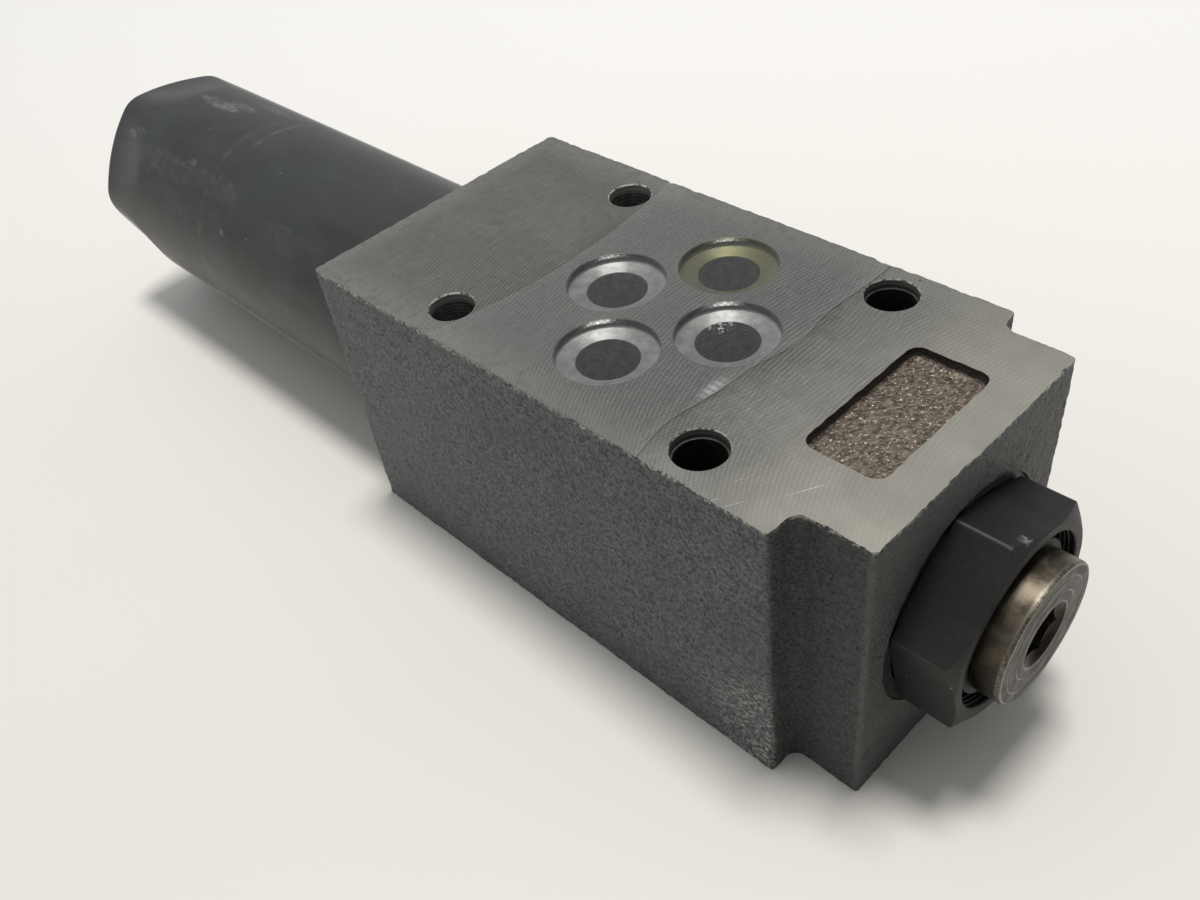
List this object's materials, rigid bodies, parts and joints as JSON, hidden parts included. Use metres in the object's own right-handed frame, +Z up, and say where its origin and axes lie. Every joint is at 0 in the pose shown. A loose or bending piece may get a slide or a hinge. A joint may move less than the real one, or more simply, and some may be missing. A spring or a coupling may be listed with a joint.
{
  "type": "pressure reducing valve",
  "caption": "Sandwich-plate hydraulic pressure reducing valve: iron housing with four ports, spool, spring housing with screwed cap, end plug and gauge port.",
  "frame": {"origin": "on the base plane, under the middle of the four-bolt pattern", "axes": "+Z up through the port face, -X along the spring housing and cap, +X towards the end plug and gauge port"},
  "size_m": [0.1783, 0.0426, 0.04],
  "materials": {
    "cast_iron": "rough sand-cast sides, ground top and base faces",
    "ground_steel": "hardened and ground",
    "turned_steel": "turned, oiled",
    "spring_steel": "oil-tempered wire",
    "black_rubber": "matt nitrile rubber",
    "black_oxide_steel": "turned steel, black-oxide finish, satin",
    "black_oxide_plug": "black-oxide steel, matt",
    "plated_steel": "turned steel with fine rings",
    "bonded_seal": "steel ring with a rubber lip, dark with oil"
  },
  "bodies": {
    "housing": {"valve_housing": "cast_iron", "spring_housing": "black_oxide_steel", "spring_housing_oring": "black_rubber", "end_plug": "black_oxide_plug", "end_plug_oring": "black_rubber", "main_spring": "spring_steel"},
    "spool": {"control_spool": "ground_steel", "orifice_screw": "turned_steel", "spool_spring_plate": "turned_steel"},
    "adjuster_plate": {"adjuster_spring_plate": "turned_steel", "spring_shim": "ground_steel", "thrust_ball": "ground_steel", "piston_oring": "black_rubber"},
    "adjuster_screw": {"adjusting_screw": "turned_steel"},
    "nut_washer": {"lock_nut_washer": "turned_steel"},
    "nut": {"lock_nut": "turned_steel"},
    "cap_seal": {"cap_oring": "black_rubber"},
    "cap": {"protective_cap": "black_oxide_steel"},
    "gauge_seal": {"gauge_plug_seal": "bonded_seal"},
    "gauge_plug": {"gauge_port_plug": "plated_steel"}
  },
  "joints": [
    {"name": "spool_slide", "type": "slide", "parent": "housing", "child": "spool", "axis": [-1, 0, 0], "range_m": [0, 0.0056], "stiffness_N_per_m": 20000, "springref_m": -0.002, "deforming": ["main_spring"]},
    {"name": "adjuster_travel", "type": "slide", "parent": "housing", "child": "adjuster_plate", "axis": [1, 0, 0], "range_m": [-0.003, 0.006], "deforming": ["main_spring"]},
    {"name": "adjuster_turn", "type": "hinge", "parent": "adjuster_plate", "child": "adjuster_screw", "pos_m": [-0.096, 0, 0.02], "axis": [1, 0, 0], "range_deg": [-720.01, 1440.01]},
    {"name": "lock_nut_travel", "type": "slide", "parent": "housing", "child": "nut_washer", "axis": [1, 0, 0], "range_m": [-0.0015, 0]},
    {"name": "lock_nut_turn", "type": "hinge", "parent": "nut_washer", "child": "nut", "pos_m": [-0.1025, 0, 0.02], "axis": [1, 0, 0], "range_deg": [-360.01, 0]},
    {"name": "cap_travel", "type": "slide", "parent": "housing", "child": "cap_seal", "axis": [1, 0, 0], "range_m": [-0.006, 0]},
    {"name": "cap_turn", "type": "hinge", "parent": "cap_seal", "child": "cap", "pos_m": [-0.108, 0, 0.02], "axis": [1, 0, 0], "range_deg": [-1440.01, 0]},
    {"name": "gauge_plug_travel", "type": "slide", "parent": "housing", "child": "gauge_seal", "axis": [1, 0, 0], "range_m": [0, 0.006]},
    {"name": "gauge_plug_turn", "type": "hinge", "parent": "gauge_seal", "child": "gauge_plug", "pos_m": [0.046, 0, 0.02], "axis": [1, 0, 0], "range_deg": [0, 1440.01]}
  ],
  "couplings": [
    {"joint": "adjuster_turn", "follows": "adjuster_travel", "rad_per_m": 4188.8},
    {"joint": "lock_nut_turn", "follows": "lock_nut_travel", "rad_per_m": 4188.8},
    {"joint": "cap_turn", "follows": "cap_travel", "rad_per_m": 4188.8},
    {"joint": "gauge_plug_turn", "follows": "gauge_plug_travel", "rad_per_m": 4188.8}
  ]
}
